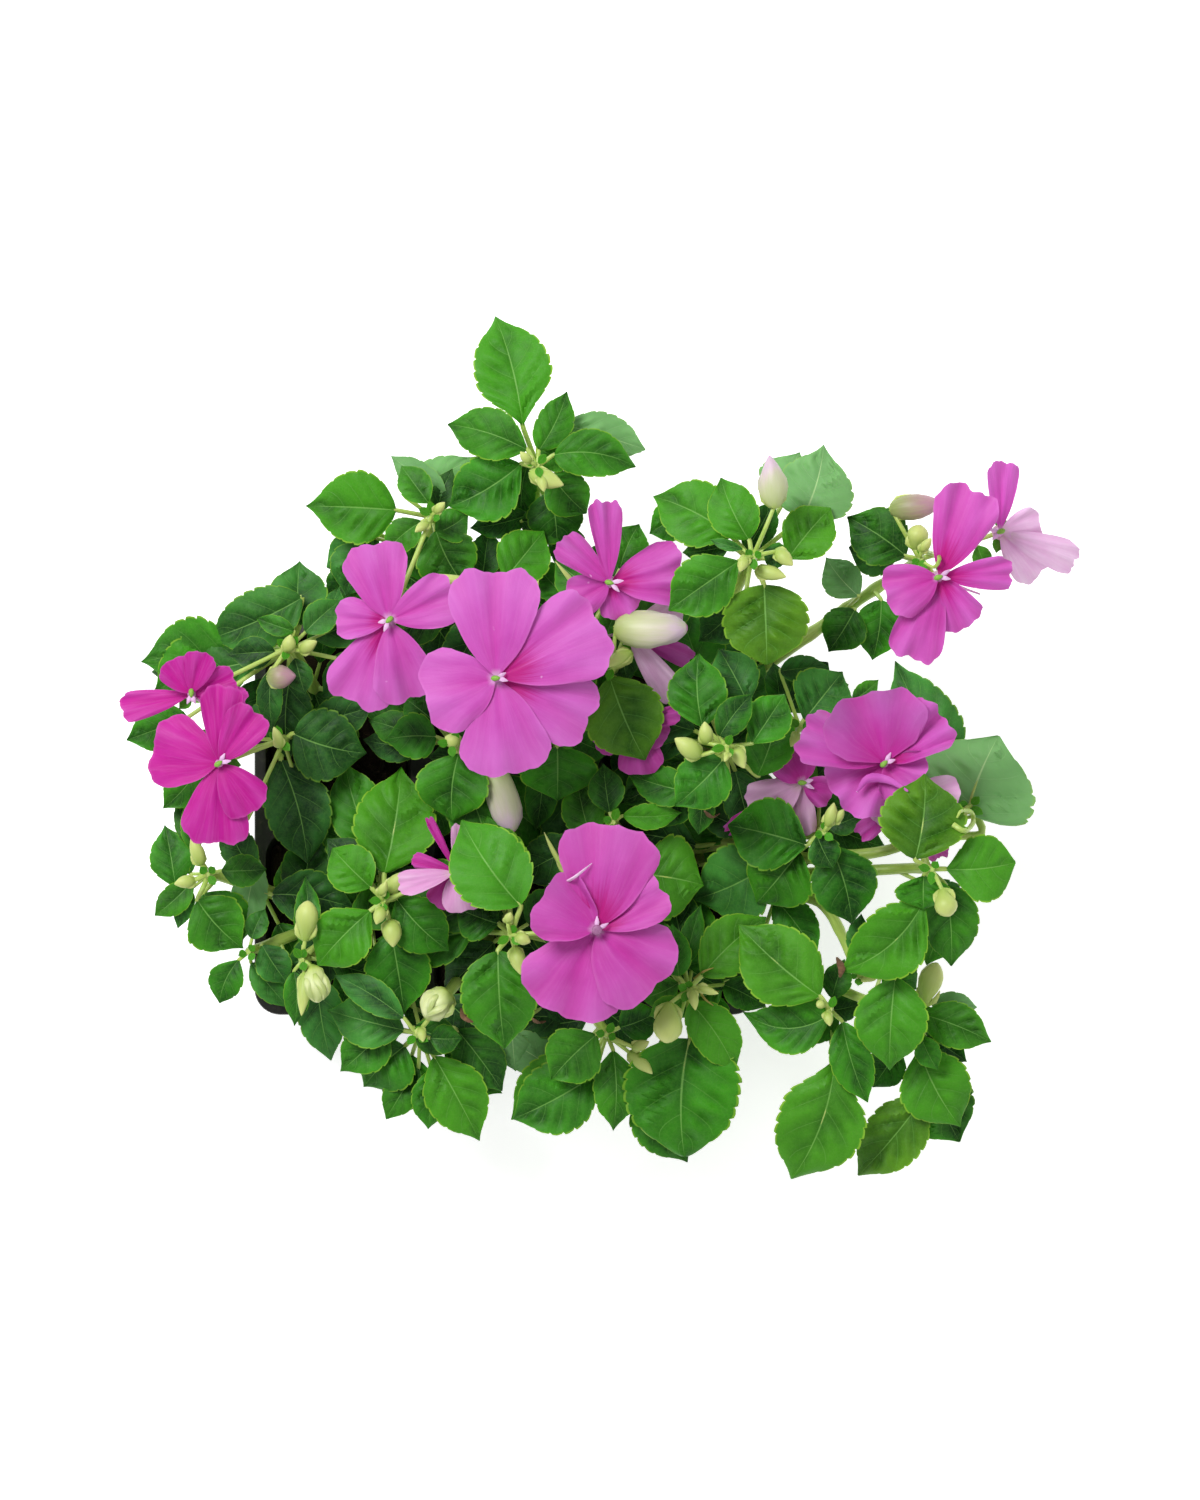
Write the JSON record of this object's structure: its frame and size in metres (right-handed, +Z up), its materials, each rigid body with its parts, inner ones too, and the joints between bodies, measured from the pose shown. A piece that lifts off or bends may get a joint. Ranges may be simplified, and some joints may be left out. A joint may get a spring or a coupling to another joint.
{
  "type": "busy lizzie bedding plant in a nursery pack",
  "caption": "Bushy impatiens bedding plants with broad toothed leaves, buds and open lilac-pink blooms, rooted in the soil of a black plastic multi-cell nursery pack.",
  "frame": {"origin": "middle of the whole plant's footprint, on the surface that the pack stands on", "axes": "+Z up; +X along the longer side of the pack and of the foliage, +Y along the shorter side"},
  "size_m": [0.292, 0.263, 0.1415],
  "materials": {
    "pack": "thin black plastic, satin",
    "soil": "crumbly dark peat and bark compost, matt",
    "leaf": "fresh green leaves and stems, satin",
    "petal": "lilac-pink petals, velvety",
    "magenta_petal": "deep magenta petals, velvety"
  },
  "bodies": {
    "root": {"bloom_centre": "petal", "bloom_centre_back": "petal", "bloom_centre_hidden": "petal", "bloom_east": "petal", "bloom_east_behind": "petal", "bloom_east_low": "petal", "bloom_far_north_east": "petal", "bloom_far_north_east_back": "petal", "bloom_north": "petal", "bloom_north_west": "petal", "bloom_south_centre": "petal", "bloom_west_centre": "petal", "bloom_west_lower": "magenta_petal", "bloom_west_upper": "magenta_petal", "cell_pack": "pack", "leafy_stem_below_centre": "leaf", "leafy_stem_centre": "leaf", "leafy_stem_centre_east": "leaf", "leafy_stem_centre_west": "leaf", "leafy_stem_east": "leaf", "leafy_stem_east_centre": "leaf", "leafy_stem_east_north": "leaf", "leafy_stem_east_south": "leaf", "leafy_stem_far_east": "leaf", "leafy_stem_far_north_east": "leaf", "leafy_stem_far_south_east": "leaf", "leafy_stem_north": "leaf", "leafy_stem_north_centre": "leaf", "leafy_stem_north_east": "leaf", "leafy_stem_north_west": "leaf", "leafy_stem_south": "leaf", "leafy_stem_south_centre": "leaf", "leafy_stem_south_east": "leaf", "leafy_stem_south_east_centre": "leaf", "leafy_stem_south_of_centre": "leaf", "leafy_stem_south_south_west": "leaf", "leafy_stem_south_west": "leaf", "leafy_stem_south_west_low": "leaf", "leafy_stem_south_west_top": "leaf", "leafy_stem_under_centre": "leaf", "leafy_stem_west": "leaf", "leafy_stem_west_centre": "leaf", "leafy_stem_west_north": "leaf", "soil_plug_1": "soil", "soil_plug_2": "soil", "soil_plug_3": "soil", "soil_plug_4": "soil", "soil_plug_5": "soil", "soil_plug_6": "soil"}
  },
  "joints": []
}
